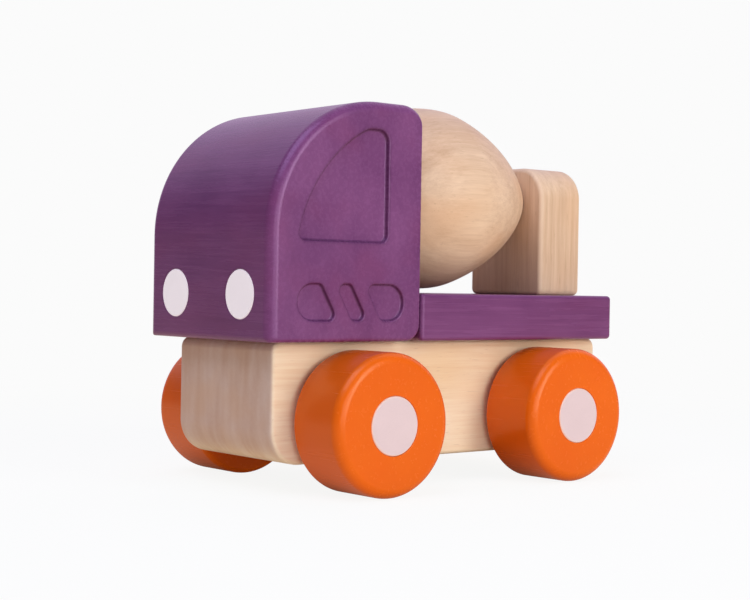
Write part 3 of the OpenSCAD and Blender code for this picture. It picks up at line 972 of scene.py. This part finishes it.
def light_room():
    """The room's light: a bright wall behind the truck, as the camera sees it, and dimmer walls
    elsewhere. What the camera sees of the room is plain white."""
    world = bpy.data.worlds.new("room")
    bpy.context.scene.world = world
    nodes = Nodes(world)
    way = nodes.node("TexCoord", {}, output="Generated")
    a, e = math.radians(WALL_AZIMUTH), math.radians(WALL_ELEVATION)
    wall_way = (math.cos(e) * math.cos(a), math.cos(e) * math.sin(a), math.sin(e))
    nearness = nodes.node("VectorMath", {0: way, 1: wall_way}, output="Value", operation="DOT_PRODUCT")
    seen = nodes.mix(nodes.span(nearness, WALL_FROM, WALL_TO), (*DIM_LIGHT, 1), (*WALL_LIGHT, 1))
    is_camera = nodes.node("LightPath", {}, output="Is Camera Ray")
    nodes.set("Background", Color=nodes.mix(is_camera, seen, (WHITE, WHITE, WHITE, 1)), Strength=1.0)


FLOOR_R = 4.0
FLOOR_STEPS = 96
FLOOR_SHADE = (0.1, 0.103, 0.097)
FLOOR_GLOW = (0.89, 0.893, 0.888)
FADE_FROM = 0.12
FADE_TO = 0.4
SHADE_PLACE = (0, -0.015, 0)  # the middle of the part of the floor that the truck keeps the light off
WHEEL_PLACE = (0.036, 0.025, 0)  # where a wheel stands, whichever side or end it is on
WHEEL_SQUEEZE = (1, 0.6, 0)
WHEEL_SHADE_FROM = 0.0
WHEEL_SHADE_TO = 0.024
UNDER_LIGHT = (0.14, 0.08, 0.05)
BOUNCE_LIGHT = (0.75, 0.61, 0.53)
BOUNCE_FROM = 0.035
BOUNCE_TO = 0.075


def lay_floor():
    """A pale floor that takes the truck's shadow and runs into the white background."""
    ring = [(FLOOR_R * math.cos(a), FLOOR_R * math.sin(a), 0) for a in around(FLOOR_STEPS)]
    mesh = bpy.data.meshes.new("floor")
    mesh.from_pydata(ring, [], [list(range(len(ring)))])
    floor = bpy.data.objects.new("floor", mesh)
    bpy.context.scene.collection.objects.link(floor)
    nodes = Nodes(bpy.data.materials.new("floor"))
    nodes.set("Principled BSDF", Base_Color=(*FLOOR_SHADE, 1), Roughness=0.9, Specular_IOR_Level=0.0,
              Emission_Color=(*FLOOR_GLOW, 1), Emission_Strength=1.0)
    place = nodes.node("TexCoord", {}, output="Object")
    distance = nodes.node("VectorMath", {0: place}, output="Value", operation="LENGTH")

    # what the camera sees of it
    plain = nodes.node("Emission", {"Color": (WHITE, WHITE, WHITE, 1)})
    near = nodes.tree.nodes["Principled BSDF"].outputs[0]
    seen = nodes.node("MixShader", {0: nodes.span(distance, FADE_FROM, FADE_TO), 1: near, 2: plain})
    is_below = nodes.node("NewGeometry", {}, output="Backfacing")
    seen = nodes.node("MixShader", {0: is_below, 1: seen, 2: nodes.node("BsdfTransparent", {})})

    # what it throws back on the truck: less from right under it, and least from next to a wheel
    shade_distance = nodes.node("VectorMath", {0: place, 1: SHADE_PLACE}, output="Value",
                                operation="DISTANCE")
    folded = nodes.node("VectorMath", {0: place}, operation="ABSOLUTE")
    from_wheel = nodes.vector("MULTIPLY", nodes.vector("SUBTRACT", folded, WHEEL_PLACE), WHEEL_SQUEEZE)
    wheel_distance = nodes.node("VectorMath", {0: from_wheel}, output="Value", operation="LENGTH")
    openness = nodes.math("MULTIPLY", nodes.span(shade_distance, BOUNCE_FROM, BOUNCE_TO),
                          nodes.span(wheel_distance, WHEEL_SHADE_FROM, WHEEL_SHADE_TO))
    bounce = nodes.mix(openness, (*UNDER_LIGHT, 1), (*BOUNCE_LIGHT, 1))
    bounce = nodes.node("Emission", {"Color": bounce})
    is_camera = nodes.node("LightPath", {}, output="Is Camera Ray")
    nodes.set("Material Output", Surface=nodes.node("MixShader", {0: is_camera, 1: bounce, 2: seen}))
    mesh.materials.append(nodes.owner)


place_camera()
softbox("key", azimuth=105, elevation=16, distance=1.1, width=0.38, height=0.9, power=4.2,
        colour=(1.0, 0.99, 0.93))
softbox("side", azimuth=89, elevation=6, distance=1.2, width=1.25, height=0.8, power=7.8,
        colour=(1.0, 0.99, 0.99))
softbox("top", azimuth=20, elevation=62, distance=1.1, width=0.8, height=0.8, power=5.7,
        colour=(0.8, 0.83, 1.1))
light_room()
lay_floor()

view = bpy.context.scene.view_settings
view.view_transform = "Standard"
view.look = "None"
